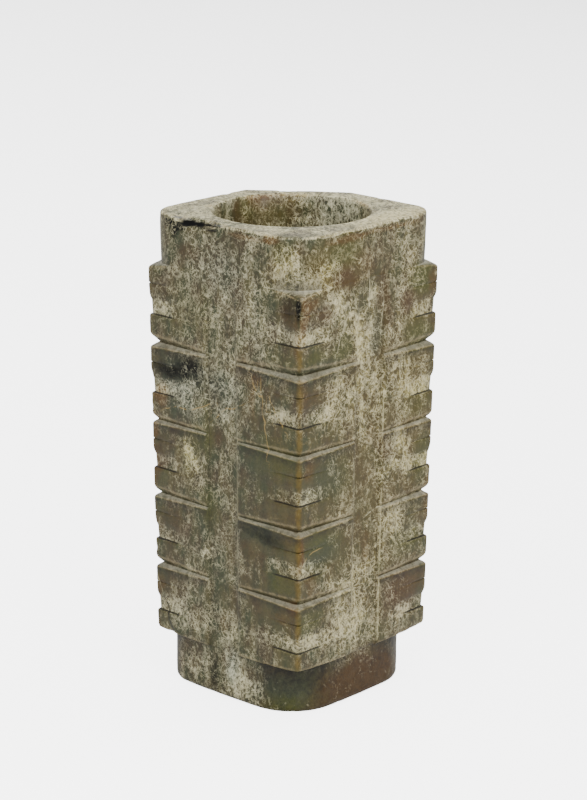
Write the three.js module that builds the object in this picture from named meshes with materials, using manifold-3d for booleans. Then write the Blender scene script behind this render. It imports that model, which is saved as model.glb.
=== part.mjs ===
// A cong of five tiers: a tall, slightly tapering square tube of jade with a round bore.
// The whole thing is one stone. The carver squared a block, rounded its corners off at
// the foot and the collar, drilled the bore from both ends, and cut a channel down the
// middle of each face. The four corners between the channels are notched into tiers.
// Each tier has the same carving, a much simplified face: two bands across the top,
// a hollow under them, and a short bar for the nose at the bottom.
//
// Millimetres, +Z up. The origin is at the centre of the underside.

import * as THREE from 'three';
import { mergeVertices } from 'three/addons/utils/BufferGeometryUtils.js';
import Module from 'manifold-3d';

// Heights. A tier's pitch runs from the root of the notch above it to the root of the
// notch below it, and the foot cuts the lowest tier off at the bottom of its nose bar.
const footHeight = 16.6;
const collarHeight = 16.8;
const tierPitches = [25.2, 24.1, 24.9, 25.9, 26.2]; // from the lowest tier up

// The squared body, at the middle of a face
const bodyHalfAtFoot = 31.5;
const bodyHalfAtCollar = 33.15;
const bodyEdgeRadius = 1.4;

// The foot and the collar, where the corners of the square are rounded off, each by eye
// and so each to its own radius. The corners are in the order +X+Y, -X+Y, -X-Y, +X-Y.
// The sides bulge: the half width is that at the middle of a side.
const footHalf = 30.1;
const footCornerRadii = [15.5, 15, 11.5, 17.5];
const footBulge = 0.3;
const footEdgeRound = 2.3;
const footOffCentre = [-0.6, -0.2];
const collarHalf = 33.05;
const collarCornerRadii = [10.2, 14, 9.6, 10.8];
const collarBulge = 0.4;
const rimFlare = 0.35;
const rimEdgeRound = 1.0;
const shoulderSlope = 8; // degrees, under the lowest tier
const topLedgeSlope = 20; // degrees, on top of the highest tier

// The -X+Y corner of the collar is cut straight off, not quite square to the diagonal
const flatDistance = 29.9; // from the axis
const flatBearing = 127; // degrees from +X

// The channel down each face. It runs out over the last stretch below the collar. The
// two that show are a little to one side of the middle: +X, +Y, -X, -Y, each turned to +X.
const channelWidth = 12.8;
const channelDepth = 1.0;
const channelRunOut = 16;
const channelOffCentres = [0.6, 0, 0, -1];

// The notches between the tiers, measured square to a face, from the lowest notch up
const notchDepths = [1.9, 1.85, 1.5, 2.25];
const notchEndShare = 0.33; // of the depth, half way into a channel
const notchFloorSlope = 35; // degrees
const notchRoofSlope = 47; // degrees

// The carving of a tier, as shares of its pitch down from the notch root above it
const bandLineShare = 0.26;
const bandEndShare = 0.4;
const noseTopShare = 0.655;
const noseEndShare = 0.936;

// Depths of the carving and how far it runs from the corner along a face
const bandLineDepth = 0.35;
const bandLineReach = 24;
const hollowLipDepth = 0.15;
const hollowDepth = 0.75;
const hollowSlopeHeight = 1.8;
const hollowReach = 18;
const hollowFullReach = 8;
const noseStepHeight = 0.2;

// The bore, drilled from both ends, so that it is narrowest where the drillings meet
const boreRadiusAtFoot = 23.5;
const boreRadiusAtCollar = 25.0;
const boreWaistRadius = 22.2;
const boreWaistHeight = 76;
const boreLip = 0.9;
const boreLipHeight = 1.6;
const boreOffCentre = [-0.5, -0.5];

// The long chip out of the rim, over the -Y face
const chipLength = 23;
const chipHeight = 3.2;
const chipDepth = 1.8;
const chipCentreX = -11.3;

// Facets and clearances
const cornerSteps = 6;
const halfSideSteps = 2;
const edgeSteps = 2;
const boreSteps = 64;
const chipSteps = 12;
const cutterClearance = 2; // how far a cutter stands out of the stone
const runOutShare = -0.3; // the share at which a cut has left the face
const envelopeReach = 9; // how far the envelope stands out around the body

const wasm = await Module();
wasm.setup();

const tangent = (degrees) => Math.tan(THREE.MathUtils.degToRad(degrees));
const channelHalf = channelWidth / 2;

// Tiers from the lowest up. root is the notch root above a tier.
const tiers = [];
let tierFloor = footHeight - tierPitches[0] * (1 - noseEndShare);
for (const pitch of tierPitches) {
  tiers.push({ root: tierFloor + pitch, floor: tierFloor, pitch });
  tierFloor += pitch;
}
const collarBase = tierFloor;
const totalHeight = collarBase + collarHeight;

// Half width of the squared body at a height
function bodyHalfAt(z) {
  const share = (z - footHeight) / (collarBase - footHeight);
  return THREE.MathUtils.lerp(bodyHalfAtFoot, bodyHalfAtCollar, share);
}

// One level ring of a rounded square with bulging sides, counter-clockwise from above.
// Each of its four runs is half a side, a corner, and half of the next side.
function squareRing(z, half, radii, bulge, sideSteps, arcSteps) {
  const points = [];
  radii.forEach((radius, corner) => {
    const end = half - bulge - radius;
    const turn = (corner * Math.PI) / 2;
    const add = (x, y) =>
      points.push(new THREE.Vector3(x, y, z).applyAxisAngle(new THREE.Vector3(0, 0, 1), turn));
    for (let i = 0; i < sideSteps; i += 1) {
      const share = i / sideSteps;
      add(half - bulge * share * share, end * share);
    }
    for (let i = 0; i <= arcSteps; i += 1) {
      const angle = (i / arcSteps) * (Math.PI / 2);
      add(end + radius * Math.cos(angle), end + radius * Math.sin(angle));
    }
    for (let i = sideSteps - 1; i > 0; i -= 1) {
      const share = i / sideSteps;
      add(end * share, half - bulge * share * share);
    }
  });
  return points;
}

// A closed body through rings of equally many points, each ring counter-clockwise as
// seen from the last one
function loft(rings) {
  const count = rings[0].length;
  const centres = [rings[0], rings.at(-1)].map((ring) =>
    ring.reduce((sum, point) => sum.add(point), new THREE.Vector3()).divideScalar(count)
  );
  const points = [...rings.flat(), ...centres];
  const firstCentre = rings.length * count;
  const lastRing = (rings.length - 1) * count;
  const index = [];
  for (let i = 0; i < count; i += 1) {
    const next = (i + 1) % count;
    for (let level = 0; level < lastRing; level += count) {
      index.push(level + i, level + next, level + count + next);
      index.push(level + i, level + count + next, level + count + i);
    }
    index.push(firstCentre, next, i);
    index.push(firstCentre + 1, lastRing + i, lastRing + next);
  }
  const geometry = new THREE.BufferGeometry().setFromPoints(points);
  geometry.setIndex(index);
  return geometry;
}

// A solid for cutting and joining, from a closed geometry
function solid(geometry) {
  const bare = geometry.clone();
  bare.deleteAttribute('normal');
  bare.deleteAttribute('uv');
  const merged = mergeVertices(bare, 1e-4);
  return new wasm.Manifold(
    new wasm.Mesh({
      numProp: 3,
      vertProperties: new Float32Array(merged.attributes.position.array),
      triVerts: new Uint32Array(merged.index.array),
    })
  );
}

// The squared block as sawn, tapering towards the foot
function squaredBlock() {
  const radii = Array(4).fill(bodyEdgeRadius);
  const ring = (z, half) => squareRing(z, half, radii, 0, 1, edgeSteps);
  return solid(
    loft([
      ring(-cutterClearance, bodyHalfAt(-cutterClearance)),
      ring(collarBase, bodyHalfAtCollar),
      ring(totalHeight + cutterClearance, bodyHalfAtCollar + rimFlare + cutterClearance),
    ])
  );
}

// What is left once the corners are rounded off at both ends: a foot, a sloping shoulder
// wide of the body, a sloping ledge back in, and a collar that flares a little
function envelope() {
  const ring = (z, out, half, radii, bulge) =>
    squareRing(z, half + out, radii.map((radius) => radius + out), bulge, halfSideSteps, cornerSteps);
  const footShift = new THREE.Vector3(...footOffCentre, 0);
  const foot = (z, out) =>
    ring(z, out, footHalf, footCornerRadii, footBulge).map((point) => point.add(footShift));
  const collar = (z, out) => ring(z, out, collarHalf, collarCornerRadii, collarBulge);
  return solid(
    loft([
      foot(0, -footEdgeRound),
      foot(footEdgeRound * 0.3, -footEdgeRound * 0.3),
      foot(footEdgeRound, 0),
      foot(footHeight, 0),
      foot(footHeight + envelopeReach * tangent(shoulderSlope), envelopeReach),
      collar(collarBase - envelopeReach * tangent(topLedgeSlope), envelopeReach),
      collar(collarBase, 0),
      collar(totalHeight - rimEdgeRound, rimFlare),
      collar(totalHeight, rimFlare - rimEdgeRound),
    ])
  );
}

// The cutter for a channel down the +X face
function channelCutter(offCentre) {
  const ring = (z, depth) => [
    new THREE.Vector3(bodyHalfAt(z) - depth, offCentre - channelHalf, z),
    new THREE.Vector3(bodyHalfAt(z) + cutterClearance, offCentre - channelHalf, z),
    new THREE.Vector3(bodyHalfAt(z) + cutterClearance, offCentre + channelHalf, z),
    new THREE.Vector3(bodyHalfAt(z) - depth, offCentre + channelHalf, z),
  ];
  return solid(
    loft([
      ring(footHeight - cutterClearance, channelDepth),
      ring(collarBase - channelRunOut, channelDepth),
      ring(collarBase, channelDepth * runOutShare),
    ])
  );
}

// A cutter that goes round the +X +Y corner from face to face. Each station says how far
// it is from the corner and which share of the depth is left there. The profile turns a
// share into points of depth and height, clockwise as seen along the +X face.
function cornerCutter(profile, stations) {
  const face = (station, place) =>
    profile(station.share).map(([depth, z]) => place(bodyHalfAt(z) - depth, bodyHalfAt(z) - station.along, z));
  const onPlusX = stations.map((station) => face(station, (out, along, z) => new THREE.Vector3(out, along, z)));
  const onPlusY = stations.map((station) => face(station, (out, along, z) => new THREE.Vector3(along, out, z)));
  const corner = profile(1).map(([depth, z]) => {
    const out = bodyHalfAt(z) - depth;
    return new THREE.Vector3(out, out, z);
  });
  return solid(loft([...onPlusX, corner, ...onPlusY.reverse()]));
}

// A V-shaped notch whose root is level and gets shallower towards the channels
function notchCutter(root, depth) {
  const profile = (share) => {
    const reach = depth * share + cutterClearance;
    return [
      [-cutterClearance, root + reach * tangent(notchRoofSlope)],
      [-cutterClearance, root - reach * tangent(notchFloorSlope)],
      [depth * share, root],
    ];
  };
  return cornerCutter(profile, [{ along: bodyHalfAt(root) - channelHalf / 2, share: notchEndShare }]);
}

// The fine line that parts the two bands of a tier
function bandLineCutter(z) {
  const profile = (share) => [
    [-cutterClearance, z + bandLineDepth + cutterClearance],
    [-cutterClearance, z - bandLineDepth - cutterClearance],
    [bandLineDepth * share, z],
  ];
  return cornerCutter(profile, [{ along: bandLineReach, share: runOutShare }]);
}

// The hollow between the bands and the nose bar, which is flush with the face
function hollowCutter(tier) {
  const bandEnd = tier.root - bandEndShare * tier.pitch;
  const noseTop = tier.root - noseTopShare * tier.pitch;
  const profile = (share) => [
    [-cutterClearance, bandEnd],
    [-cutterClearance, noseTop],
    [hollowDepth * share, noseTop + noseStepHeight],
    [hollowDepth * share * 0.8, bandEnd - hollowSlopeHeight],
    [hollowLipDepth * share, bandEnd],
  ];
  return cornerCutter(profile, [
    { along: hollowReach, share: runOutShare },
    { along: hollowFullReach, share: 1 },
  ]);
}

// The bore, with a worn lip at each mouth
function boreCutter() {
  const profile = [
    [0, -cutterClearance],
    [boreRadiusAtFoot + boreLip, -cutterClearance],
    [boreRadiusAtFoot + boreLip, 0],
    [boreRadiusAtFoot, boreLipHeight],
    [boreWaistRadius, boreWaistHeight],
    [boreRadiusAtCollar, totalHeight - boreLipHeight],
    [boreRadiusAtCollar + boreLip, totalHeight],
    [boreRadiusAtCollar + boreLip, totalHeight + cutterClearance],
    [0, totalHeight + cutterClearance],
  ].map(([radius, height]) => new THREE.Vector2(radius, height));
  const geometry = new THREE.LatheGeometry(profile, boreSteps);
  geometry.rotateX(Math.PI / 2);
  geometry.translate(...boreOffCentre, 0);
  return solid(geometry);
}

// The straight cut across one corner of the collar
function flatCutter() {
  const height = collarHeight + cutterClearance;
  const geometry = new THREE.BoxGeometry(collarHalf, collarHalf * 2, height);
  geometry.translate(flatDistance + collarHalf / 2, 0, collarBase + height / 2);
  geometry.rotateZ(THREE.MathUtils.degToRad(flatBearing));
  return solid(geometry);
}

// The flake knocked out of the rim
function chipCutter() {
  const geometry = new THREE.SphereGeometry(1, chipSteps, chipSteps / 2);
  geometry.scale(chipLength / 2, chipDepth, chipHeight);
  geometry.translate(chipCentreX, -(collarHalf + rimFlare), totalHeight);
  return solid(geometry);
}

const faceTurns = [0, 90, 180, 270];
let stone = squaredBlock().intersect(envelope());
faceTurns.forEach((turn, face) => {
  stone = stone.subtract(channelCutter(channelOffCentres[face]).rotate([0, 0, turn]));
});

// The cuts at a corner, each made once and turned to the four corners
const cutters = [];
tiers.forEach((tier, i) => {
  cutters.push(bandLineCutter(tier.root - bandLineShare * tier.pitch));
  cutters.push(hollowCutter(tier));
  if (i < notchDepths.length) cutters.push(notchCutter(tier.root, notchDepths[i]));
});

for (const cutter of cutters) {
  for (const turn of faceTurns) stone = stone.subtract(cutter.rotate([0, 0, turn]));
}
for (const cutter of [boreCutter(), flatCutter(), chipCutter()]) stone = stone.subtract(cutter);

const cut = stone.getMesh();
const geometry = new THREE.BufferGeometry();
geometry.setAttribute('position', new THREE.BufferAttribute(cut.vertProperties, 3));
geometry.setIndex(new THREE.BufferAttribute(cut.triVerts, 1));
geometry.computeVertexNormals();

const nephrite = new THREE.MeshStandardMaterial({ color: 0x77705a, roughness: 0.5, metalness: 0 });
const cong = new THREE.Mesh(geometry, nephrite);
cong.name = 'cong';

const part = new THREE.Group();
part.add(cong);

export default part;
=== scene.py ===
import math

import bpy
import numpy as np
from mathutils import Matrix, Vector, noise


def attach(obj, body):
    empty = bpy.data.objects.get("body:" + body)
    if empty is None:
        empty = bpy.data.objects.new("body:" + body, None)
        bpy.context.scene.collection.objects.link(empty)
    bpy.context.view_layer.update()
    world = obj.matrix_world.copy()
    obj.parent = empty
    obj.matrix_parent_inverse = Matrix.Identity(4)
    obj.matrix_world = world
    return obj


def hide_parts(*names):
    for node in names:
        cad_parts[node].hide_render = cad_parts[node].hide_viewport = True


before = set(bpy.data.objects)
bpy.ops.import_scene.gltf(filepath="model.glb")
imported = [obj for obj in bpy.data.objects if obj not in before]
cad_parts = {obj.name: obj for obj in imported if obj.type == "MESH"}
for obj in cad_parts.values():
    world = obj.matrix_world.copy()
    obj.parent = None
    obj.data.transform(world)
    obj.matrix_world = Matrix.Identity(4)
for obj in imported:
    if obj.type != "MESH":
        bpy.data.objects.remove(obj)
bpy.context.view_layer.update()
bpy.ops.object.select_all(action="DESELECT")

# The stone: one block of nephrite, squared, drilled from both ends and carved at its four
# corners with five tiers of bands, a hollow and a nose bar. It was cut by abrasives and
# polished, so every edge is soft, and long burial has worn and chipped it.

MM = 0.001

foot_height = 16.6
collar_height = 16.8
tier_pitches = [25.2, 24.1, 24.9, 25.9, 26.2]

body_half_at_foot = 31.5
body_half_at_collar = 33.15
body_edge_radius = 1.4
draw_in_reach = 10

foot_half = 30.1
foot_corner_radii = [15.5, 15, 11.5, 17.5]
foot_bulge = 0.3
foot_edge_round = 2.3
foot_off_centre = (-0.6, -0.2)
collar_half = 33.05
collar_corner_radii = [10.2, 14, 9.6, 10.8]
collar_bulge = 0.4
rim_flare = 0.35
rim_flare_height = 4
rim_edge_round = 1.0
shoulder_slope = math.tan(math.radians(8))
top_ledge_slope = math.tan(math.radians(20))

flat_distance = 29.9
flat_bearing = math.radians(127)

channel_half = 6.4
channel_depth = 1.0
channel_wall_run = 0.5
channel_run_out = 16
channel_off_centres = [0.6, 0, 0, -1]

notch_depths = [1.9, 1.85, 1.5, 2.25]
notch_end_share = 0.33
notch_floor_slope = math.tan(math.radians(35))
notch_roof_slope = math.tan(math.radians(47))

band_line_share = 0.26
band_end_share = 0.4
nose_top_share = 0.655
nose_end_share = 0.936
band_line_depth = 0.35
band_line_reach = 18.5
hollow_depth = 0.75
hollow_foot_share = 0.98
hollow_top_share = 0.8
hollow_step_height = 0.25
hollow_foot_height = 0.65
hollow_slope_height = 1.8
hollow_reach = 15.7
hollow_full_reach = 8

bore_radius_at_foot = 23.5
bore_radius_at_collar = 25.0
bore_waist_radius = 22.2
bore_waist_height = 76
bore_lip = 0.9
bore_lip_height = 1.6
lip_edge_round = 0.4
lip_edge_drop = 0.35
lip_edge_share = 0.6
bore_off_centre = (-0.5, -0.5)

chip_centre_x = -11.3
chip_half_sizes = np.array([11.5, 1.8, 3.2])

collar_base = foot_height - tier_pitches[0] * (1 - nose_end_share) + sum(tier_pitches)
total_height = collar_base + collar_height

# Columns of vertices round the stone. Those in a channel keep their distance from its
# middle, those near a corner keep their distance from the corner, and the rest stretch
# between the two as the body tapers: reach = reach_share * half width + reach_shift.
in_channel = [0, 1.6, 3.2, 4.6, 5.7, 6.25, 6.5, 7.0, 8.2]
from_corner = [
    0, 0.45, 0.9, 1.4, 2, 2.8, 3.7, 4.6, 5.6, 6.6, 7.6, 8.6, 9.7, 10.9, 12.1, 13.3, 14.5, 15.8, 17.2,
]
between_columns = 7

face_of = []
reach_share = []
reach_shift = []
for face, off_centre in enumerate(channel_off_centres):
    half_columns = {}
    for side in (-1, 1):
        columns = [(0, off_centre + side * reach) for reach in in_channel]
        for step in range(1, between_columns):
            share = step / between_columns
            shift = (1 - share) * (off_centre + side * in_channel[-1]) - side * share * from_corner[-1]
            columns.append((side * share, shift))
        columns += [(side, -side * distance) for distance in reversed(from_corner)]
        half_columns[side] = columns
    face_columns = half_columns[-1][:0:-1] + half_columns[1][:-1]
    face_of += [face] * len(face_columns)
    reach_share += [share for share, shift in face_columns]
    reach_shift += [shift for share, shift in face_columns]

face_of = np.array(face_of)
reach_share = np.array(reach_share)
reach_shift = np.array(reach_shift)
facing = face_of * (math.pi / 2)
mid_half = (body_half_at_foot + body_half_at_collar) / 2
corner_of = np.where(reach_share * mid_half + reach_shift > 0, face_of, face_of - 1) % 4
channel_middle = np.array(channel_off_centres)[face_of]


def body_half_at(z):
    share = (z - foot_height) / (collar_base - foot_height)
    return body_half_at_foot + (body_half_at_collar - body_half_at_foot) * share


def place(out, along, z):
    x = out * np.cos(facing) - along * np.sin(facing)
    y = out * np.sin(facing) + along * np.cos(facing)
    return np.stack([x, y, z + 0 * x], axis=1)


def channel_at(z):
    reach = reach_share * body_half_at(z) + reach_shift
    wall = np.clip((channel_half - np.abs(reach - channel_middle)) / channel_wall_run + 0.5, 0, 1)
    return channel_depth * wall * np.clip((collar_base - z) / channel_run_out, 0, 1)


# A cut near a corner also draws the points in along the face, so that the corner moves
# in by the cut's depth both ways.
def on_body(z, depth=0.0):
    half = body_half_at(z)
    reach = reach_share * half + reach_shift
    from_edge = half - np.abs(reach)
    depth = np.maximum(depth, channel_at(z))
    turn = np.clip(1 - from_edge / body_edge_radius, 0, 1) * (math.pi / 4)
    inset = half - depth - body_edge_radius
    towards_corner = np.clip(1 - (from_edge - body_edge_radius) / draw_in_reach, 0, 1)
    rounded = from_edge < body_edge_radius
    out = np.where(rounded, inset + body_edge_radius * np.cos(turn), half - depth)
    drawn_in = np.abs(reach) - depth * towards_corner
    along = np.where(rounded, inset + body_edge_radius * np.sin(turn), drawn_in)
    return place(out, along * np.sign(reach), z)


def on_round(z, half, radii, bulge, out, body_half):
    radius = np.array(radii)[corner_of]
    straight = half - bulge - radius
    reach = reach_share * body_half + reach_shift
    turn = np.clip((np.abs(reach) - straight) / (body_half - straight), 0, 1) * (math.pi / 4)
    on_side = np.abs(reach) <= straight
    side_out = half + out - bulge * (reach / straight) ** 2
    outward = np.where(on_side, side_out, straight + (radius + out) * np.cos(turn))
    along = np.where(on_side, np.abs(reach), straight + (radius + out) * np.sin(turn))
    return place(outward, along * np.sign(reach), z)


def on_foot(z, out):
    shift = np.array([*foot_off_centre, 0])
    return on_round(z, foot_half, foot_corner_radii, foot_bulge, out, body_half_at_foot) + shift


def on_collar(z, out):
    points = on_round(z, collar_half, collar_corner_radii, collar_bulge, out, body_half_at_collar)
    normal = np.array([math.cos(flat_bearing), math.sin(flat_bearing), 0])
    beyond = np.maximum(points @ normal - flat_distance - min(out - rim_flare, 0), 0)
    return points - beyond[:, None] * normal


def on_bore(z, radius):
    outline = on_collar(z, 0)
    angle = np.arctan2(outline[:, 1] - bore_off_centre[1], outline[:, 0] - bore_off_centre[0])
    x = bore_off_centre[0] + radius * np.cos(angle)
    y = bore_off_centre[1] + radius * np.sin(angle)
    return np.stack([x, y, z + 0 * x], axis=1)


# The rows, from the underside up the outside and back down the bore. A key row is where
# the profile turns, and steps is the number of rows that lead up to it. It has a width of
# wear if it is an edge, and marks that the colours read: crevice for darkening in the
# grooves, edge for wear, the dust mark for dust and a painted highlight on a ledge,
# hollow and raised for the carving, and rim for the top.
keys = []
marks = ("crevice", "edge", "dust", "hollow", "raised", "rim")


def key(points, steps, wear=0.0, **marked):
    values = np.stack([np.broadcast_to(marked.get(mark, 0.0), face_of.shape) for mark in marks], axis=1)
    keys.append((np.concatenate([points, values], axis=1), steps, wear))


foot_outline = on_foot(0, 0)
foot_arc = [math.radians(angle) for angle in (70, 45, 20, 0)]
key(on_foot(0, -foot_edge_round), 5)
for angle in foot_arc:
    drop = foot_edge_round * (1 - math.sin(angle))
    key(on_foot(drop, foot_edge_round * (math.cos(angle) - 1)), 1, edge=0.3)

least_width = 0.05
darkened_shoulder_width = 3
body_bottom = on_body(foot_height)
shoulder_width = np.linalg.norm(body_bottom[:, :2] - foot_outline[:, :2], axis=1)
shoulder_width = np.maximum(shoulder_width, least_width)
key(on_foot(foot_height, 0), 14, crevice=np.clip(shoulder_width / darkened_shoulder_width, 0, 1))

# How much of the band's line, the hollow, its darkening and the notch each column has
crevice_fade = 3
tier_side_fade = 0.6
reach_at_middle = reach_share * mid_half + reach_shift
from_corner_at = mid_half - np.abs(reach_at_middle)
band_share = np.clip(1 - from_corner_at / band_line_reach, 0, 1)
hollow_share = np.clip((hollow_reach - from_corner_at) / (hollow_reach - hollow_full_reach), 0, 1)
crevice_share = np.clip((hollow_reach - crevice_fade - from_corner_at) / crevice_fade, 0, 1)
notch_run = mid_half - channel_half / 2
notch_share = np.maximum(1 - (1 - notch_end_share) * from_corner_at / notch_run, notch_end_share)
in_tier = np.clip((np.abs(reach_at_middle - channel_middle) - channel_half) / tier_side_fade, 0, 1)

# Widths of wear: the lowest edge of all and the other tiers' lower edges, the top of a
# nose bar, the lower edge of a band, the edge of a notch, and the ledge under the collar
foot_of_body_wear = 1.3
tier_wear = 0.9
nose_top_wear = 0.5
band_end_wear = 0.8
notch_wear = 0.45
ledge_wear = 0.6

notch_dark_height = 0.7
hollow_step = hollow_depth * hollow_share
hollow_foot = hollow_foot_share * hollow_depth * hollow_share
hollow_top = hollow_top_share * hollow_depth * hollow_share
band_top = 0.7 * hollow_share
nose_bottom = foot_height + shoulder_width * shoulder_slope
nose_wear = foot_of_body_wear
root = collar_base - sum(tier_pitches)
for tier, pitch in enumerate(tier_pitches):
    root += pitch
    nose_top = root - nose_top_share * pitch
    band_end = root - band_end_share * pitch
    band_line = root - band_line_share * pitch
    key(on_body(nose_bottom), 5 if tier == 0 else 3, wear=nose_wear, edge=in_tier, raised=hollow_share)
    key(on_body(nose_top), 8, wear=nose_top_wear, edge=0.6 * hollow_share, raised=hollow_share)
    key(on_body(nose_top + hollow_step_height, hollow_step), 1, crevice=1.4 * crevice_share)
    key(on_body(nose_top + hollow_foot_height, hollow_foot), 1, hollow=hollow_share)
    key(on_body(band_end - hollow_slope_height, hollow_top), 5, hollow=hollow_share)
    key(on_body(band_end), 3, wear=band_end_wear, edge=0.5 * hollow_share, raised=hollow_share)
    key(on_body(band_line - band_line_depth), 4, raised=hollow_share)
    key(on_body(band_line, band_line_depth * band_share), 1, crevice=0.9 * band_share)
    key(on_body(band_line + band_line_depth), 1, raised=hollow_share)
    if tier < len(notch_depths):
        depth = notch_depths[tier] * notch_share
        notch_edge = root - depth * notch_floor_slope
        key(on_body(notch_edge - notch_dark_height), 5, crevice=0.7 * in_tier, raised=band_top)
        key(on_body(notch_edge), 1, wear=notch_wear, edge=in_tier, dust=0.5 * in_tier, raised=band_top)
        key(on_body(root - 0.2 * depth * notch_floor_slope, 0.8 * depth), 3, dust=in_tier)
        key(on_body(root, depth), 1, crevice=0.6 * in_tier, dust=0.3 * in_tier)
        nose_bottom = root + depth * notch_roof_slope
        nose_wear = tier_wear

# The ledge under the collar ends just outside the collar, in a small fillet.
dusty_ledge_width = 0.8
fillet_share = 1.003
fillet_height = 0.3
collar_outline = on_collar(collar_base, 0)
body_top = on_body(collar_base)
ledge_width = np.linalg.norm(body_top[:, :2] - collar_outline[:, :2], axis=1)
ledge_width = np.maximum(ledge_width, least_width)
ledge_mark = np.clip(ledge_width / dusty_ledge_width, 0, 1)
key(on_body(collar_base - ledge_width * top_ledge_slope), 6, wear=ledge_wear, edge=ledge_mark)
key(collar_outline * [fillet_share, fillet_share, 1], 4, dust=ledge_mark)
key(on_collar(collar_base + fillet_height, 0), 1, crevice=0.7 * ledge_mark, dust=0.5 * ledge_mark)
key(on_collar(total_height - rim_flare_height, rim_flare), 12)
key(on_collar(total_height - rim_edge_round, rim_flare), 6, edge=0.3)
for angle in [math.radians(angle) for angle in (25, 50, 75, 90)]:
    drop = rim_edge_round * (1 - math.sin(angle))
    inset = rim_edge_round * (1 - math.cos(angle))
    key(on_collar(total_height - drop, rim_flare - inset), 1, edge=0.7, rim=1.0)
lip_radius = bore_radius_at_collar + bore_lip
key(on_bore(total_height, lip_radius + lip_edge_round), 9, rim=1.0)
lip_edge_radius = bore_radius_at_collar + bore_lip * lip_edge_share
key(on_bore(total_height - lip_edge_drop, lip_edge_radius), 1, edge=0.7, rim=1.0)
key(on_bore(total_height - bore_lip_height, bore_radius_at_collar), 2, edge=0.5)
key(on_bore(bore_waist_height, bore_waist_radius), 16)
key(on_bore(bore_lip_height, bore_radius_at_foot), 10)
key(on_bore(0, bore_radius_at_foot + bore_lip), 2, edge=0.5)
key(on_foot(0, -foot_edge_round), 4)

# Each edge is worn off over its width into two flanks and a crown between them, and the
# key rows are filled in between. A flank takes less than half of the way to the next row.
flank_room = 2.2
crown_share = 0.27
flank_edge_share = 0.6
edge_mark = 3 + marks.index("edge")
worn = []
for number, (values, steps, wear) in enumerate(keys):
    if wear == 0:
        worn.append((values, steps))
        continue
    before = keys[number - 1][0] - values
    after = keys[number + 1][0] - values
    before *= (wear / np.maximum(np.linalg.norm(before[:, :3], axis=1), flank_room * wear))[:, None]
    after *= (wear / np.maximum(np.linalg.norm(after[:, :3], axis=1), flank_room * wear))[:, None]
    flank_before = values + before
    flank_after = values + after
    flank_before[:, edge_mark] = values[:, edge_mark] * flank_edge_share
    flank_after[:, edge_mark] = values[:, edge_mark] * flank_edge_share
    crown = values + crown_share * (before + after)
    crown[:, edge_mark] = values[:, edge_mark]
    worn += [(flank_before, steps), (crown, 1), (flank_after, 1)]

rows = [worn[0][0]]
for (last, _), (values, steps) in zip(worn, worn[1:]):
    rows += [last + (values - last) * step / steps for step in range(1, steps + 1)]
rows = np.array(rows)
surface = np.concatenate([rows, rows[:, :1]], axis=1)
row_count, column_count = surface.shape[:2]

# A flat grid is wrapped on to the rows and closed: round the seam, and at the foot, where
# the last row meets the first.
same_point = 1e-7
bpy.ops.mesh.primitive_grid_add(x_subdivisions=column_count - 1, y_subdivisions=row_count - 1, size=1)
stone = bpy.context.active_object
stone.name = "carved_stone"
flat_grid = np.empty(len(stone.data.vertices) * 3)
stone.data.vertices.foreach_get("co", flat_grid)
flat_grid = flat_grid.reshape(-1, 3)
grid_column = np.rint((flat_grid[:, 0] + 0.5) * (column_count - 1)).astype(int)
grid_row = np.rint((flat_grid[:, 1] + 0.5) * (row_count - 1)).astype(int)
vertices = surface[grid_row, grid_column]
stone.data.vertices.foreach_set("co", (vertices[:, :3] * MM).ravel())
for number, mark in enumerate(marks):
    layer = stone.data.attributes.new(mark, "FLOAT", "POINT")
    layer.data.foreach_set("value", vertices[:, 3 + number].astype(np.float32))
stone.data.update()

bpy.ops.object.mode_set(mode="EDIT")
bpy.ops.mesh.select_all(action="SELECT")
bpy.ops.mesh.remove_doubles(threshold=same_point)
bpy.ops.mesh.normals_make_consistent(inside=False)
bpy.ops.object.mode_set(mode="OBJECT")
bpy.ops.object.shade_smooth_by_angle(angle=math.radians(40))


# Wear: abrasion leaves the surface a little uneven, and handling and burial have taken
# small irregular bites out of the edges.
def read_points(mesh, name, width=3):
    values = np.empty(len(mesh.vertices) * width)
    if name in ("co", "normal"):
        mesh.vertices.foreach_get(name, values)
    else:
        mesh.attributes[name].data.foreach_get("value", values)
    return values.reshape(-1, width) if width > 1 else values


def write_points(mesh, name, values):
    layer = mesh.attributes.new(name, "FLOAT", "POINT")
    layer.data.foreach_set("value", values.astype(np.float32))


seed_steps = (17.3, 31.7, 5.9)


def noise_at(points, size, seed):
    offset = Vector([seed * step for step in seed_steps])
    return np.array([noise.noise(Vector(point) / size + offset) for point in points])


edge_loss = 0.05
bite_depth = 1.1
places = read_points(stone.data, "co") / MM
normals = read_points(stone.data, "normal")
edge = read_points(stone.data, "edge", 1)
bite = np.clip(noise_at(places, 5.3, seed=1) + 0.4 * noise_at(places, 1.9, seed=2) - 0.2, 0, 1)
uneven = 0.09 * noise_at(places, 11, seed=3) + 0.04 * noise_at(places, 3.7, seed=4)
push = uneven - edge * (edge_loss + bite_depth * bite)
moved = places + normals * push[:, None]

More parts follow.
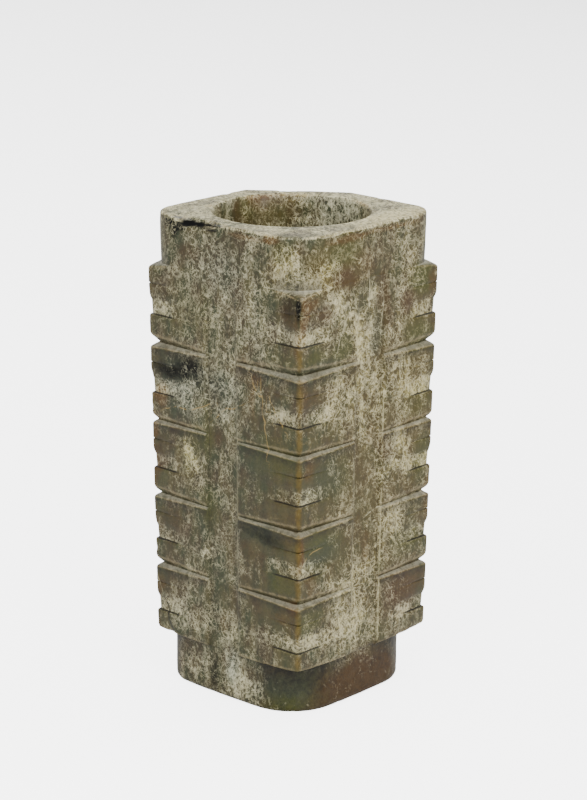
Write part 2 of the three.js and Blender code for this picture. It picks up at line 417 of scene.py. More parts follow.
# The flake out of the rim: every point inside its ellipsoid goes in and down on to it.
chip_centre = np.array([chip_centre_x, -(collar_half + rim_flare), total_height])
chip_drive = np.array([0, 0.5, -0.866])
chip_mark_end = 1.03
chip_mark_fade = 0.09
ragged = 1 + 0.25 * noise_at(places, 4.5, seed=11) + 0.2 * noise_at(places, 1.7, seed=13)
from_centre = (moved - chip_centre) / chip_half_sizes * ragged[:, None]
drive = chip_drive / chip_half_sizes
depth_left = np.maximum(1 - np.sum(from_centre**2, axis=1), 0)
across_drive = from_centre @ drive
drive_square = drive @ drive
travel = (np.sqrt(across_drive**2 + drive_square * depth_left) - across_drive) / drive_square
chipped = np.clip((chip_mark_end - np.linalg.norm(from_centre, axis=1)) / chip_mark_fade, 0, 1)
moved += np.where(depth_left > 0, travel, 0)[:, None] * chip_drive
stone.data.vertices.foreach_set("co", (moved * MM).ravel())
stone.data.update()

# The flake's bed is black in a blade that narrows to the right, and a painted shadow lies
# along a ragged line lower down, under a lump left in the break. A painted highlight runs as
# a thin paler line along the top of the blade.
blade_start_x = -19.5
blade_top = 0.7
blade_height = 3.6
blade_narrowing = 0.13
start_fade = 1.5
top_fade = 0.3
bottom_fade = 0.4
lump_drop = 2.4
lump_half = 0.8
painted_sheen_drop = 0.6
painted_sheen_half = 0.3
from_start = places[:, 0] - blade_start_x
below_top = total_height - moved[:, 2]
blade_bottom = blade_height - blade_narrowing * from_start
below_blade_top = np.clip((below_top - blade_top) / top_fade, 0, 1)
above_blade_bottom = np.clip((blade_bottom - below_top) / bottom_fade, 0, 1)
blade = np.clip(from_start / start_fade, 0, 1)
blade *= below_blade_top * above_blade_bottom
# The painted shadow under the lump left in the break, in a ragged band lower down
off_lump = moved[:, 2] - total_height + lump_drop + 0.7 * noise_at(places, 2.5, seed=12)
lump_shadow = np.clip(1 - np.abs(off_lump) / lump_half, 0, 1)
write_points(stone.data, "chip", chipped * np.maximum(blade, lump_shadow))
# The painted highlight: a thin paler line along the top of the blade
write_points(stone.data, "painted_sheen", chipped * np.clip(1 - np.abs(below_top - painted_sheen_drop) / painted_sheen_half, 0, 1))

# Every point of the surface belongs to a region with two coordinates in millimetres: on
# the four faces, which are named as the camera sees them, the distance from the middle and
# the height, in the bore the way round it and the height, and on the rim's top x and y.
RIGHT, REAR_RIGHT, REAR_LEFT, LEFT, BORE, RIM = range(6)
bore_clearance = 0.1
facing_up = 0.9
rim_layer = 0.6
region = np.round(np.arctan2(places[:, 1], places[:, 0]) / (math.pi / 2)).astype(int) % 4
angle = region * (math.pi / 2)
across = places[:, 1] * np.cos(angle) - places[:, 0] * np.sin(angle)
upward = places[:, 2]
from_bore_axis = np.hypot(*(places[:, :2] - bore_off_centre).T)
in_bore = from_bore_axis < lip_radius + bore_clearance
on_rim = (normals[:, 2] > facing_up) & (upward > total_height - rim_layer) & ~in_bore
bore_angle = np.arctan2(places[:, 1] - bore_off_centre[1], places[:, 0] - bore_off_centre[0])
across = np.where(in_bore, bore_angle * bore_radius_at_collar, np.where(on_rim, places[:, 0], across))
upward = np.where(on_rim, places[:, 1], upward)
region = np.where(in_bore, BORE, np.where(on_rim, RIM, region))

# Stains and alteration, each an irregular patch: its region, its middle, its half width
# and half height, and how strong it is
stains = {
    "pale": [
        (LEFT, -31, 150, 2.5, 8, 1.6), (LEFT, 26, 147, 4.5, 6, 0.7), (LEFT, 1, 146, 9, 5, 0.25),
        (LEFT, 14, 129, 7, 10, 0.5), (LEFT, 0, 118, 6, 20, 0.3), (LEFT, -19, 99, 9, 4, 0.6),
        (LEFT, 1, 99, 5, 4, 0.6), (LEFT, 24, 101, 5, 3, 0.5), (LEFT, 26, 95, 5, 3, 0.6),
        (LEFT, -16, 83, 3.4, 3.5, 1.2), (LEFT, -14, 78, 3.6, 4.5, 1.4), (LEFT, 0, 78, 6, 8, 0.4),
        (LEFT, -24, 61, 4, 3, 0.5),
        (LEFT, -13, 50, 7, 3, 0.7), (LEFT, 24, 54, 6, 2.5, 0.8), (LEFT, -17, 27, 9, 7, 0.5),
        (LEFT, 2, 18, 6, 8, 0.6), (LEFT, 22, 28, 8, 3, 0.7), (LEFT, -14, 9, 4.5, 5, 1.0),
        (LEFT, 3, 9, 4, 6, 0.8), (LEFT, 9, 6, 5, 5, 1.0), (LEFT, -29, 9, 1.5, 8, 0.7),
        (RIGHT, 16, 150, 5, 6, 0.9), (RIGHT, -24, 144, 7, 3.5, 1.0), (RIGHT, -17, 137, 4, 3, 0.9),
        (RIGHT, -12.6, 133, 4, 4, 1.1), (RIGHT, -8, 128, 4, 4, 1.1),
        (RIGHT, -6, 121, 3, 5, 0.9), (RIM, 27, 12, 7, 20, 0.8),
        (RIGHT, 1, 133, 2, 10, 0.7), (RIGHT, -3, 122, 4, 7, 0.7), (RIGHT, 14, 131, 3, 9, 0.5),
        (RIGHT, -14, 108, 8, 10, 0.6), (RIGHT, 0, 104, 6, 14, 0.7), (RIGHT, 17, 104, 9, 9, 0.7),
        (RIGHT, 14, 81, 6, 9, 0.9), (RIGHT, 12, 58, 6, 6, 0.6), (RIGHT, -6, 33, 9, 13, 1.2),
        (RIGHT, -22, 27, 8, 4, 0.6), (RIGHT, 18, 25, 4, 3, 0.9),
        (BORE, 38, 154, 14, 9, 0.8), (BORE, 55, 153, 10, 6, 0.3), (BORE, 76, 152, 8, 3, 0.3),
        (REAR_RIGHT, -12, 120, 11, 22, 0.6), (REAR_RIGHT, 14, 60, 12, 18, 0.5),
        (REAR_RIGHT, -2, 30, 8, 14, 0.5),
        (REAR_LEFT, 16, 128, 10, 16, 0.5), (REAR_LEFT, -14, 88, 12, 14, 0.5), (REAR_LEFT, 4, 44, 10, 18, 0.5),
    ],
    "deep": [
        (LEFT, 20, 84, 12, 12, 1.2), (LEFT, 20, 61, 12, 9, 1.3), (LEFT, 20, 40, 12, 7, 1.2),
        (LEFT, -22, 82, 9, 10, 0.4), (LEFT, -20, 60, 12, 10, 0.5), (LEFT, -1, 72, 7, 22, 0.3),
        (LEFT, 26, 8, 9, 9, 1.4), (LEFT, -20, 111, 10, 6, 0.5), (LEFT, -1, 38, 7, 10, 0.3),
        (LEFT, 12, 31, 9, 5, 0.4), (LEFT, -22, 38, 8, 4, 0.3), (LEFT, -12, 88, 7, 3, 0.5),
        (RIGHT, -22, 84, 10, 9, 0.45), (RIGHT, -20, 58, 9, 8, 0.45), (RIGHT, 26, 36, 9, 8, 0.5),
        (RIGHT, -26, 7, 10, 9, 1.4), (RIGHT, 6, 7, 22, 9, 0.7), (RIGHT, -30, 148, 3, 8, 0.6),
        (RIGHT, 4, 143, 9, 4, 0.3),
        (REAR_RIGHT, 6, 8, 26, 8, 0.7), (REAR_RIGHT, 18, 96, 9, 14, 0.5), (REAR_LEFT, -8, 8, 26, 8, 0.7),
        (RIM, 26, -27, 7, 7, 0.7), (RIM, 8, -31, 12, 2, 0.4), (RIM, 30, -8, 3, 8, 0.4),
        (REAR_LEFT, -16, 58, 12, 12, 0.5), (REAR_RIGHT, -18, 78, 9, 16, 0.4), (REAR_LEFT, 16, 76, 9, 14, 0.4),
        (RIGHT, -1, 78, 6, 13, 0.8), (RIGHT, 1, 58, 5, 12, 0.5), (RIGHT, -12, 152, 16, 5, 0.5),
        (RIGHT, -20, 67, 12, 24, 0.4), (BORE, 70, 152, 14, 9, 0.8), (RIGHT, 10, 150, 10, 6, 0.4),
        (RIGHT, -22, 119, 9, 5, 0.4), (LEFT, 24, 30, 9, 14, 0.5), (LEFT, 20, 60, 14, 45, 0.4),
        (LEFT, 0, 52, 34, 50, 0.2),
    ],
    "ochre": [
        (RIGHT, 0, 80, 30, 80, 0.6), (RIGHT, 24, 110, 8, 40, 0.4), (RIGHT, -18, 148, 12, 8, 0.7),
        (LEFT, 27, 60, 6, 50, 0.4), (LEFT, -16, 79, 5, 9, 0.5), (LEFT, 24, 147, 6, 8, 0.5),
        (REAR_RIGHT, 6, 90, 26, 50, 0.5), (REAR_LEFT, -6, 60, 26, 50, 0.4), (RIM, 30, 12, 6, 20, 0.4),
        (BORE, 66, 154, 14, 8, 0.6),
    ],
    "olive": [
        (LEFT, 24, 153, 4, 4, 0.6), (LEFT, -15, 128, 9, 9, 0.4), (LEFT, 26, 119, 6, 3, 0.5),
        (LEFT, -10, 88, 5, 4, 0.6), (LEFT, -15, 80, 5, 6, 0.5), (LEFT, 21, 87, 11, 7, 0.7),
        (LEFT, 25, 46, 7, 3, 0.7),
        (LEFT, 24, 3, 9, 4, 1.0), (LEFT, -8, 66, 5, 6, 0.6), (LEFT, 5, 22, 3, 5, 0.4),
        (RIGHT, -14, 151, 8, 6, 0.8), (RIGHT, 28, 150, 3, 8, 0.7), (RIGHT, 24, 137, 7, 5, 0.9),
        (RIGHT, -12, 121, 4, 6, 0.7), (RIGHT, 24, 118, 8, 5, 0.8), (RIGHT, -24, 119, 8, 4, 0.7),
        (RIGHT, -18, 80, 10, 9, 0.6), (RIGHT, 27, 76, 4, 8, 0.7), (RIGHT, -22, 57, 9, 7, 0.9),
        (RIGHT, 20, 50, 8, 5, 0.7), (RIGHT, -27, 35, 6, 6, 0.7), (RIGHT, -26, 8, 8, 8, 0.9),
        (RIGHT, 24, 96, 8, 5, 0.5), (BORE, 74, 155, 6, 3, 0.7), (REAR_RIGHT, 12, 134, 9, 10, 0.6),
        (REAR_LEFT, -18, 112, 9, 10, 0.6), (REAR_RIGHT, -16, 46, 9, 12, 0.5), (REAR_LEFT, 20, 36, 8, 12, 0.5),
    ],
    "plum": [
        (LEFT, -14, 147, 6, 3, 0.6), (LEFT, 2, 128, 3, 6, 0.4), (LEFT, 28, 134, 4, 4, 0.6),
        (LEFT, 8, 116, 3, 2.5, 0.5), (LEFT, -28, 107, 3, 5, 0.6), (LEFT, 13, 111, 5, 3, 0.6),
        (LEFT, -22, 55, 9, 7, 0.5), (LEFT, 11, 55, 5, 5, 0.5), (LEFT, -28, 76, 4, 4, 0.7),
        (LEFT, -22, 9, 4, 7, 0.6), (LEFT, -4, 88, 3, 5, 0.4),
        (RIGHT, -12, 143, 6, 3.5, 0.9), (RIGHT, 6, 137, 3, 8, 0.6), (RIGHT, 18, 131, 4, 4, 0.9),
        (RIGHT, 9, 128, 2.5, 6, 0.6), (RIGHT, -24, 108, 6, 4, 0.5), (RIGHT, 9, 84, 3, 6, 0.5),
        (RIGHT, 18, 33, 11, 9, 0.9), (RIGHT, 2, 7, 22, 9, 1.2), (RIGHT, -22, 133, 4, 3, 0.7),
        (BORE, 79, 156.5, 4, 1.5, 0.6), (REAR_RIGHT, 22, 28, 9, 10, 0.6), (REAR_LEFT, -20, 140, 9, 8, 0.6),
    ],
    "slate": [
        (LEFT, -18, 107.5, 13, 6, 0.9), (LEFT, 0, 103, 6, 7, 0.6), (LEFT, 0, 144, 9, 7, 0.5),
        (LEFT, 15, 61, 9, 4, 0.8), (LEFT, 22, 9, 9, 6, 0.8), (LEFT, 2, 12, 3, 6, 0.8),
        (LEFT, 14, 83, 8, 9, 0.5), (LEFT, -18, 96, 7, 6, 0.6), (LEFT, 26, 116, 6, 2, 0.6),
        (RIGHT, -22, 55, 9, 5, 0.6), (RIGHT, -20, 80, 9, 9, 0.5), (RIGHT, -26, 9, 8, 7, 0.8),
        (RIGHT, -24, 117, 8, 2, 0.7), (RIGHT, 4, 122, 3, 8, 0.5), (BORE, 40, 152, 12, 6, 0.5),
        (REAR_RIGHT, -8, 96, 10, 10, 0.5), (REAR_LEFT, 10, 58, 10, 12, 0.5),
    ],
    "rust": [
        (LEFT, 20.5, 156.5, 3.0, 1.3, 1.2), (LEFT, 10, 155.8, 7, 0.8, 0.7), (LEFT, 30.5, 153, 1.6, 3, 0.9),
        (LEFT, -28, 98, 3.5, 3, 1.0), (LEFT, 13, 104, 1.0, 8, 0.6), (LEFT, -30.5, 87, 1.6, 3.5, 1.2),
        (LEFT, -31, 76, 2, 8, 0.7), (LEFT, -29, 33, 2, 4, 0.6), (LEFT, -1, 27, 2, 6, 0.4),
        (LEFT, 30, 39, 3, 2, 1.3), (LEFT, 31.5, 128, 1.2, 8, 0.6), (LEFT, 24, 34, 4, 2, 0.5),
        (RIGHT, -12, 155.6, 9, 1.2, 0.8), (RIGHT, 10, 156, 14, 0.9, 0.7), (RIGHT, -28, 137, 4, 2.5, 0.8),
        (RIGHT, -31, 110, 2, 5, 0.6), (RIGHT, -28, 85, 3.0, 5, 0.6), (RIGHT, 2, 90, 2.0, 4, 0.5),
        (RIGHT, -31, 57, 1.6, 6, 1.3), (RIGHT, 1, 52, 2, 7, 0.4), (RIGHT, -26, 46, 2.5, 3, 0.6),
        (RIGHT, 30, 62, 1.6, 10, 0.6), (RIGHT, 30, 134, 2, 6, 0.7), (RIGHT, -31, 131, 1.8, 6, 1.0),
        (RIGHT, -3, 8, 3, 6, 0.4),
        (RIGHT, -2, 146, 3, 5, 0.5), (BORE, 69, 157, 4, 1.8, 1.2), (BORE, 60, 157.5, 8, 0.9, 0.6),
        (BORE, 30, 158, 5, 0.8, 0.9), (RIM, -22, -14, 2.2, 2.2, 0.9),
    ],
    "black": [
        (LEFT, -23.2, 155.6, 1.6, 1.4, 1.4), (LEFT, -21, 153.4, 1.8, 3.0, 1.0),
        (LEFT, -17.5, 155.3, 3, 1.2, 1.4), (LEFT, 32.2, 149.5, 1.2, 4.5, 0.8),
        (LEFT, -29, 131, 5, 2, 0.3), (LEFT, -30, 118, 2.5, 2, 0.6), (LEFT, -14, 110.5, 6, 2.2, 0.7),
        (LEFT, -24, 107, 7, 2.2, 0.7), (LEFT, -13, 106.5, 6, 3.0, 0.45), (LEFT, -18, 109, 12, 5, 0.3),
        (LEFT, 32.4, 136.5, 1.0, 3.5, 1.2),
        (LEFT, 14, 61, 9, 2.2, 0.5), (LEFT, -6, 8, 2, 7, 0.7), (LEFT, 22, 59, 7, 2, 0.5),
        (RIGHT, -32.3, 149.5, 1.2, 4.5, 0.8), (RIGHT, -22, 50, 6, 2, 0.3), (RIGHT, -33, 137.5, 0.6, 3.5, 1.0),
        (RIGHT, 0, 7, 32, 9, 0.3), (LEFT, 24, 7, 9, 8, 0.25), (LEFT, 29, 137, 3, 5, 0.6),
    ],
}

# Noise warps the patches, the small ones less, and each fades out beyond its half sizes.
full_warp_size = 3
fade_end = 1.5
warp_across = 1.6 * noise_at(places, 6, seed=5) + 1.1 * noise_at(places, 2.3, seed=6)
warp_upward = 1.6 * noise_at(places, 6, seed=7) + 1.1 * noise_at(places, 2.3, seed=8)
for name, patches in stains.items():
    amount = np.zeros(len(places))
    for where, middle, height, half_width, half_height, strength in patches:
        ease = min(1, half_width / full_warp_size, half_height / full_warp_size)
        off_across = (across - middle + ease * warp_across) / half_width
        off_upward = (upward - height + ease * warp_upward) / half_height
        inside = np.clip(fade_end - np.hypot(off_across, off_upward), 0, 1)
        amount += strength * inside * (region == where)
    write_points(stone.data, name, amount)

# Thin lines: a crack that has filled with dirt, and veins. Each is drawn through a few
# points, and the surface keeps its signed distance, so that the line itself stays sharp.
lines = {
    "crack": [
        (LEFT, [(-26.9, 26.8), (-25.9, 23), (-24, 17.5)]),
    ],
    "rust_vein": [
        (LEFT, [(12.2, 112), (15.2, 106.4), (16.8, 101.9)]),
        (LEFT, [(20.2, 105.8), (22.3, 101.4), (26.5, 96.7)]),
        (LEFT, [(-26, 93.5), (-20.4, 95.8), (-14.6, 95.3), (-7, 98.8)]),
        (LEFT, [(-3.5, 95.5), (0.5, 99.0), (4.5, 99.8), (7.5, 101.5)]),
        (LEFT, [(16.2, 113), (17.4, 101), (19, 88)]),
        (RIGHT, [(-29, 54.7), (-27.6, 56.3), (-25.3, 57.1), (-21.6, 57.8)]),
    ],
    "vein": [
        (LEFT, [(-31.8, 38), (-30.2, 34.2), (-26.9, 27.5)]),
        (RIGHT, [(-11, 131), (-14.6, 124), (-16.4, 117)]),
        (RIGHT, [(-0.9, 147.5), (-1.0, 138), (0.6, 124)]),
        (RIGHT, [(6.5, 134), (6.6, 129), (5.9, 122)]),
        (RIGHT, [(15, 138.5), (11.5, 133), (10.5, 122)]),
        (RIGHT, [(-0.6, 61.6), (3.3, 63.5), (7.2, 64.1)]),
        (RIGHT, [(-24, 157.5), (27, 157.5)]),
        (BORE, [(50, 158), (49.5, 148)]),
        (BORE, [(44, 158), (43.6, 147)]),
        (BORE, [(36.6, 158), (37.2, 147)]),
    ],
}

far_off = 9.0
wobble = 0.7 * noise_at(places, 4.3, seed=9) + 0.3 * noise_at(places, 1.9, seed=10)


def signed_distance(points):
    nearest = np.full(len(places), far_off)
    for (from_across, from_upward), (to_across, to_upward) in zip(points, points[1:]):
        run = np.array([to_across - from_across, to_upward - from_upward])
        ahead = across + wobble - from_across
        above = upward + wobble - from_upward
        share = np.clip((ahead * run[0] + above * run[1]) / (run @ run), 0, 1)
        off = np.hypot(ahead - share * run[0], above - share * run[1])
        side = np.sign(ahead * run[1] - above * run[0])
        nearest = np.where(off < np.abs(nearest), off * side, nearest)
    return nearest


for name, drawn in lines.items():
    nearest = np.full(len(places), far_off)
    for where, points in drawn:
        distance = np.where(region == where, signed_distance(points), far_off)
        nearest = np.where(np.abs(distance) < np.abs(nearest), distance, nearest)
    write_points(stone.data, name, nearest)

# The lower parts of the channel edges, which are rubbed pale, a dark line at the foot of
# the channel's sides, and the stain down the corners
edge_from_wall = 0.3
dark_line_from_edge = 0.75
rubbed_up_to = 104
dark_line_up_to = collar_base - 8
stained_up_to = 128
stain_full = 1.2
stain_width = 2.2
on_face = region < BORE
middle_here = np.array([*channel_off_centres, 0, 0])[region]
arris_off = np.abs(across - middle_here) - channel_half - edge_from_wall
on_blocks = (upward > foot_height + 1) & on_face
rubbed = on_blocks & (upward < rubbed_up_to) & ((region != LEFT) | (across > middle_here))
write_points(stone.data, "arris", np.where(rubbed, arris_off, far_off))
dark_line_zone = on_blocks & (upward < dark_line_up_to)
write_points(stone.data, "channel_side", np.where(dark_line_zone, arris_off + dark_line_from_edge, far_off))
corner_off = np.abs(across) - body_half_at(upward)
corner_stain = np.clip(stain_full + corner_off / stain_width, 0, 1)
write_points(stone.data, "corner", np.where(on_face & (upward < stained_up_to), corner_stain, 0.0))


# Nephrite jade, altered by long burial: an olive to brown stone that has turned pale buff
# in fibres and clouds, with dark flecks left between them, under a soft worn polish.
def linear(hex_colour):
    channels = [int(hex_colour[i : i + 2], 16) / 255 for i in (1, 3, 5)]
    return (*[c / 12.92 if c <= 0.04045 else ((c + 0.055) / 1.055) ** 2.4 for c in channels], 1)


def add_node(tree, kind, inputs=(), **settings):
    node = tree.nodes.new(kind)
    for name, value in settings.items():
        setattr(node, name, value)
    for socket, value in dict(inputs).items():
        if isinstance(value, bpy.types.NodeSocket):
            tree.links.new(value, node.inputs[socket])
        else:
            node.inputs[socket].default_value = value
    return node


nephrite = bpy.data.materials.new("altered nephrite jade")
nephrite.use_nodes = True
tree = nephrite.node_tree
shader = tree.nodes["Principled BSDF"]
here = add_node(tree, "ShaderNodeTexCoord").outputs["Object"]
field = {}
for name in (*marks, *stains, *lines, "chip", "painted_sheen", "arris", "channel_side", "corner"):
    field[name] = add_node(tree, "ShaderNodeAttribute", attribute_name=name).outputs["Fac"]

# A Mix node's sockets for numbers and for colours have the same names, so they are given
# by their places.
SHARE = 0
VALUE_UNDER, VALUE_OVER = 2, 3
UNDER, OVER, MIXED = 6, 7, 2

# Sizes of the clouds of alteration, the drifts of hue, the mottles, the dark flecks and
# the upright streaks, in millimetres
cloud_size = 8
hue_size = 6
mottle_size = 2.2
fleck_size = 0.85
streak_size = 3.2
upright = add_node(
    tree, "ShaderNodeMapping",
    {"Vector": here, "Rotation": (0.35, 0.35, 0), "Scale": (1, 1, 1.5)},
    vector_type="TEXTURE",
)
very_upright = add_node(tree, "ShaderNodeMapping", {"Vector": here, "Scale": (1, 1, 0.2)})
cloud = add_node(
    tree, "ShaderNodeTexNoise",
    {"Vector": here, "Scale": 1 / (cloud_size * MM), "Detail": 3, "Distortion": 0.6},
)
hue = add_node(
    tree, "ShaderNodeTexNoise", {"Vector": upright.outputs[0], "Scale": 1 / (hue_size * MM), "Detail": 4}
)
greener = add_node(
    tree, "ShaderNodeMapRange", {"Value": hue.outputs["Fac"], "From Min": 0.38, "From Max": 0.62}
)
mottle = add_node(
    tree, "ShaderNodeTexNoise",
    {"Vector": here, "Scale": 1 / (mottle_size * MM), "Detail": 5, "Roughness": 0.7, "Distortion": 0.4},
)
fleck = add_node(
    tree, "ShaderNodeTexNoise", {"Vector": upright.outputs[0], "Scale": 1 / (fleck_size * MM), "Detail": 2}
)
streak = add_node(
    tree, "ShaderNodeTexNoise",
    {"Vector": very_upright.outputs[0], "Scale": 1 / (streak_size * MM), "Detail": 4, "Distortion": 0.4},
)

# The fibres show as tangled pale hairs: thin lines where a noise, drawn out along a slant,
# crosses its middle value. Nephrite's own fibres are far too fine for the picture, so each
# hair is drawn as wide as a bundle of them. The band is how near to the middle counts.
hair_gap = 2.4
hair_stretch = 2.2
hair_band = 0.022
hair = None
for slant in (1.0, 0.2, -0.8):
    drawn_out = add_node(
        tree, "ShaderNodeMapping",
        {"Vector": here, "Rotation": (slant, 0.8 * slant, 0), "Scale": (1, 1, hair_stretch)},
        vector_type="TEXTURE",
    )
    strand = add_node(
        tree, "ShaderNodeTexNoise",
        {"Vector": drawn_out.outputs[0], "Scale": 1 / (hair_gap * MM), "Detail": 2, "Distortion": 0.8},
    )
    on_line = {0: strand.outputs["Fac"], 1: 0.5, 2: hair_band}
    crossing = add_node(tree, "ShaderNodeMath", on_line, operation="COMPARE")
    both = {0: crossing.outputs[0], 1: hair if hair else 0.0}
    hair = add_node(tree, "ShaderNodeMath", both, operation="MAXIMUM").outputs[0]

# The share of alteration is a sum of weighted parts. It decides how much pale stone covers
# the fresh stone, and with a softer slope how bright the pale stone is.
fresh_level = -2.38
paleness = None
for source, weight in (
    (cloud.outputs["Fac"], 1.5),
    (mottle.outputs["Fac"], 1.5),
    (fleck.outputs["Fac"], 1.0),
    (streak.outputs["Fac"], 0.7),
    (field["pale"], 0.4),
    (field["deep"], -0.36),
    (field["hollow"], 0.36),
    (field["raised"], -0.28),
    (field["rim"], 0.5),
    (field["olive"], -0.12),
    (field["plum"], -0.3),
    (field["black"], -0.1),
):
    added = {0: source, 1: weight, 2: paleness if paleness else fresh_level}
    paleness = add_node(tree, "ShaderNodeMath", added, operation="MULTIPLY_ADD").outputs[0]
altered = add_node(
    tree, "ShaderNodeMapRange",
    {"Value": paleness, "From Min": 0.0, "From Max": 0.9},
    interpolation_type="SMOOTHSTEP",
).outputs["Result"]
brightness = add_node(
    tree, "ShaderNodeMapRange", {"Value": paleness, "From Min": 0.1, "From Max": 1.5}
).outputs["Result"]

# The fresh stone drifts between brown and green, with paler streaks. The stains cover it
# in turn, each with a ragged edge from the mottling.
fresh = add_node(
    tree, "ShaderNodeMix",
    {SHARE: greener.outputs["Result"], UNDER: linear("#3b311b"), OVER: linear("#31361e")},
    data_type="RGBA",
).outputs[MIXED]
streaked = add_node(
    tree, "ShaderNodeMapRange",
    {"Value": streak.outputs["Fac"], "From Min": 0.42, "From Max": 0.7, "To Max": 0.5},
)
fresh = add_node(
    tree, "ShaderNodeMix",
    {SHARE: streaked.outputs["Result"], UNDER: fresh, OVER: linear("#58502c")},
    data_type="RGBA",
).outputs[MIXED]
for name, colour in (
    ("ochre", "#4c3e10"), ("olive", "#3b3d10"), ("plum", "#402b0c"), ("slate", "#2d3325"),
    ("rust", "#4c340a"), ("black", "#050504"),
):
    broken_up = {0: mottle.outputs["Fac"], 1: 0.9, 2: field[name]}
    ragged = add_node(tree, "ShaderNodeMath", broken_up, operation="MULTIPLY_ADD").outputs[0]
    covered = add_node(tree, "ShaderNodeMapRange", {"Value": ragged, "From Min": 0.6, "From Max": 1.5})
    fresh = add_node(
        tree, "ShaderNodeMix",
        {SHARE: covered.outputs["Result"], UNDER: fresh, OVER: linear(colour)},
        data_type="RGBA",
    ).outputs[MIXED]

# The altered stone is buff, brighter where the alteration is stronger, and takes a tint
# from the stains.
buff = add_node(
    tree, "ShaderNodeMix",
    {SHARE: brightness, UNDER: linear("#746f50"), OVER: linear("#c8c098")},
    data_type="RGBA",
).outputs[MIXED]
for name, colour in (
    ("ochre", "#b0a05c"), ("olive", "#a89f58"), ("plum", "#95846a"), ("slate", "#8f9a8c"),
    ("rust", "#8c6f32"),
):
    tinted = add_node(tree, "ShaderNodeMapRange", {"Value": field[name], "From Max": 1.1, "To Max": 0.75})
    buff = add_node(
        tree, "ShaderNodeMix",
        {SHARE: tinted.outputs["Result"], UNDER: buff, OVER: linear(colour)},
        data_type="RGBA",
    ).outputs[MIXED]
colour = add_node(
    tree, "ShaderNodeMix", {SHARE: altered, UNDER: fresh, OVER: buff}, data_type="RGBA"
).outputs[MIXED]

# The hairs lie over both, paler than the buff, and show more where there is alteration.
wisp = add_node(
    tree, "ShaderNodeMapRange",
    {"Value": paleness, "From Min": -0.45, "From Max": 0.45, "To Min": 0.02, "To Max": 0.7},
)
threaded = add_node(tree, "ShaderNodeMath", {0: hair, 1: wisp.outputs["Result"]}, operation="MULTIPLY")
palest = add_node(
    tree, "ShaderNodeMix", {SHARE: 0.5, UNDER: buff, OVER: linear("#e0d8b4")}, data_type="RGBA"
).outputs[MIXED]
colour = add_node(
    tree, "ShaderNodeMix", {SHARE: threaded.outputs[0], UNDER: colour, OVER: palest}, data_type="RGBA"
).outputs[MIXED]

# Dust and a painted highlight lie on the ledges, edges are rubbed, the corners are
# stained and the grooves are darkened. Each is broken up by the mottling.
for name, cover, start, strength in (
    # Pale grey-blue on the up-facing ledges: dust with a painted highlight
    ("dust", "#908c79", 0.15, 0.75),
    ("edge", "#a3926a", 0.3, 0.35),
    ("corner", "#5c4a14", 0.18, 0.7),
    # Near black: the grooves, the roots of the notches and the foot of the collar are darkened
    ("crevice", "#120f08", 0.15, 0.9),
):
    broken = add_node(
        tree, "ShaderNodeMath", {0: field[name], 1: mottle.outputs["Fac"]}, operation="MULTIPLY"
    )
    laid = add_node(
        tree, "ShaderNodeMapRange",
        {"Value": broken.outputs[0], "From Min": start, "From Max": 0.5, "To Max": strength},
    )
    colour = add_node(
        tree, "ShaderNodeMix",
        {SHARE: laid.outputs["Result"], UNDER: colour, OVER: linear(cover)},
        data_type="RGBA",
    ).outputs[MIXED]

# Lines: each is drawn where its signed distance passes zero, as wide as its half width in
# millimetres, and is left out where the streaks are below its gap.
gap_fade = 0.12
for name, half_width, cover, strength, gap in (
    # A dark line at the foot of each channel side
    ("channel_side", 0.3, "#2a2410", 0.6, 0.42),
    ("arris", 0.35, "#c0b88e", 0.5, 0.4),
    ("vein", 0.3, "#cfc7a3", 0.6, 0.43),
    ("rust_vein", 0.26, "#b09254", 0.6, 0.4),
    ("crack", 0.7, "#120e06", 1.0, 0.0),
):
    off = add_node(tree, "ShaderNodeMath", {0: field[name]}, operation="ABSOLUTE")
    drawn = add_node(
        tree, "ShaderNodeMapRange",
        {"Value": off.outputs[0], "From Max": half_width, "To Min": strength, "To Max": 0},
    )
    kept = add_node(
        tree, "ShaderNodeMapRange",
        {"Value": streak.outputs["Fac"], "From Min": gap, "From Max": gap + gap_fade},
    )
    shown = add_node(
        tree, "ShaderNodeMath", {0: drawn.outputs["Result"], 1: kept.outputs["Result"]}, operation="MULTIPLY"
    )
    colour = add_node(
        tree, "ShaderNodeMix",
        {SHARE: shown.outputs[0], UNDER: colour, OVER: linear(cover)},
        data_type="RGBA",
    ).outputs[MIXED]

# Dark flecks of fresh stone are left everywhere, fainter on the fresh stone itself and
# where it is stained ochre.
fleck_strength = add_node(
    tree, "ShaderNodeMapRange", {"Value": altered, "To Min": 0.3, "To Max": 0.9}
).outputs["Result"]
calm = add_node(
    tree, "ShaderNodeMapRange", {"Value": field["ochre"], "From Max": 0.8, "To Min": 1, "To Max": 0.5}
).outputs["Result"]
fleck_strength = add_node(
    tree, "ShaderNodeMath", {0: fleck_strength, 1: calm}, operation="MULTIPLY"
).outputs[0]
dark_below, gone_above = 0.34, 0.47
is_fleck = add_node(
    tree, "ShaderNodeMapRange",
    {
        "Value": fleck.outputs["Fac"], "From Min": dark_below, "From Max": gone_above,
        "To Min": fleck_strength, "To Max": 0,
    },
)
colour = add_node(
    tree, "ShaderNodeMix",
    {SHARE: is_fleck.outputs["Result"], UNDER: colour, OVER: linear("#1e1a0d")},
    data_type="RGBA",
).outputs[MIXED]

# The break in the rim is black, with a painted shadow under its lump and a painted highlight as its paler
# line.
for name, cover in (("chip", "#040404"), ("painted_sheen", "#5d6068")):
    colour = add_node(
        tree, "ShaderNodeMix", {SHARE: field[name], UNDER: colour, OVER: linear(cover)}, data_type="RGBA"
    ).outputs[MIXED]
tree.links.new(colour, shader.inputs["Base Color"])

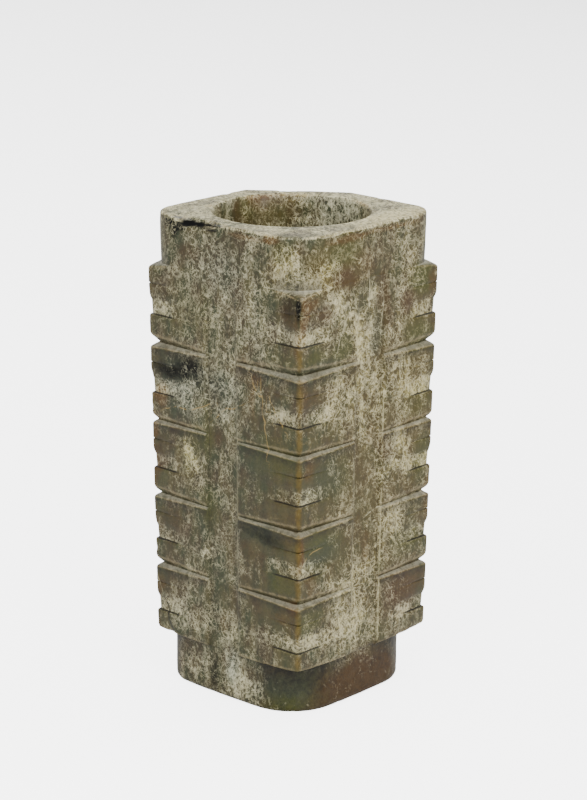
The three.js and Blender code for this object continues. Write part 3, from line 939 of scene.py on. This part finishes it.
# Fresh stone keeps its polish and altered stone has lost some. The break and the black
# stains reflect less.
polish = add_node(tree, "ShaderNodeMapRange", {"Value": altered, "To Min": 0.42, "To Max": 0.62})
broken_face = add_node(
    tree, "ShaderNodeMix",
    {SHARE: field["chip"], VALUE_UNDER: polish.outputs["Result"], VALUE_OVER: 0.3},
)
tree.links.new(broken_face.outputs[0], shader.inputs["Roughness"])
dark_parts = add_node(tree, "ShaderNodeMath", {0: field["chip"], 1: field["black"]}, operation="MAXIMUM")
shine = add_node(tree, "ShaderNodeMapRange", {"Value": dark_parts.outputs[0], "To Min": 0.25, "To Max": 0.08})
tree.links.new(shine.outputs["Result"], shader.inputs["Specular IOR Level"])
shader.inputs["IOR"].default_value = 1.61

# A fine unevenness of the surface follows the mottles.
relief = add_node(
    tree, "ShaderNodeBump", {"Height": mottle.outputs["Fac"], "Strength": 0.3, "Distance": 0.15 * MM}
)
tree.links.new(relief.outputs["Normal"], shader.inputs["Normal"])
stone.data.materials.append(nephrite)

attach(stone, "root")
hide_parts("cong")

# The camera, at the photograph's place and angle
camera_place = Vector((0.5653, -0.6226, 0.3354))
camera_forward = Vector((-0.6461, 0.7121, -0.2748)).normalized()
camera_roll = math.radians(0.374)
camera_right = camera_forward.cross(Vector((0, 0, 1))).normalized()
camera_up = camera_right.cross(camera_forward)
turned_right = camera_right * math.cos(camera_roll) + camera_up * math.sin(camera_roll)
turned_up = camera_up * math.cos(camera_roll) - camera_right * math.sin(camera_roll)
axes = Matrix((turned_right, turned_up, -camera_forward)).transposed()
bpy.ops.object.camera_add(location=camera_place, rotation=axes.to_euler())
camera = bpy.context.active_object
camera.data.lens = 121.5
camera.data.sensor_width = 36
bpy.context.scene.camera = camera

# The floor is a plain pale sheet, large enough to fill the picture. What the camera sees
# of it is lifted towards white, as in the photograph, and its bounce light is not.
bpy.ops.mesh.primitive_plane_add(size=40, location=(0, 0, 0))
floor = bpy.context.active_object
floor.name = "floor"
paper = bpy.data.materials.new("white paper")
paper.use_nodes = True
sheet = paper.node_tree.nodes["Principled BSDF"]
sheet.inputs["Base Color"].default_value = (0.6, 0.6, 0.6, 1)
sheet.inputs["Roughness"].default_value = 0.9
sheet.inputs["Emission Color"].default_value = (1, 1, 1, 1)
on_sheet = add_node(paper.node_tree, "ShaderNodeTexCoord").outputs["Object"]
back = add_node(paper.node_tree, "ShaderNodeSeparateXYZ", {0: on_sheet}).outputs["Y"]
glow = add_node(
    paper.node_tree, "ShaderNodeMapRange",
    {"Value": back, "From Min": -0.2, "From Max": 1.6, "To Min": 4.8, "To Max": 2.2},
).outputs["Result"]
seen = add_node(paper.node_tree, "ShaderNodeLightPath").outputs["Is Camera Ray"]
lift = add_node(paper.node_tree, "ShaderNodeMath", {0: seen, 1: glow}, operation="MULTIPLY")
paper.node_tree.links.new(lift.outputs[0], sheet.inputs["Emission Strength"])
floor.data.materials.append(paper)

# Soft studio light: a pale room and three soft boxes, one above and to the left, one above
# and to the right, and one overhead
world = bpy.data.worlds.new("studio")
bpy.context.scene.world = world
world.use_nodes = True
world.node_tree.nodes["Background"].inputs["Color"].default_value = (1, 1, 1, 1)
world.node_tree.nodes["Background"].inputs["Strength"].default_value = 0.85


def add_soft_box(place, size, energy):
    aim = Vector((0, 0, 0.08)) - Vector(place)
    bpy.ops.object.light_add(type="AREA", location=place, rotation=aim.to_track_quat("-Z", "Y").to_euler())
    box = bpy.context.active_object
    box.data.size = size
    box.data.energy = energy


add_soft_box((0.1, -1.3, 1.0), 1.0, 13)
add_soft_box((1.25, -0.3, 0.9), 0.9, 17)
add_soft_box((0.2, 0.2, 1.4), 0.9, 14)
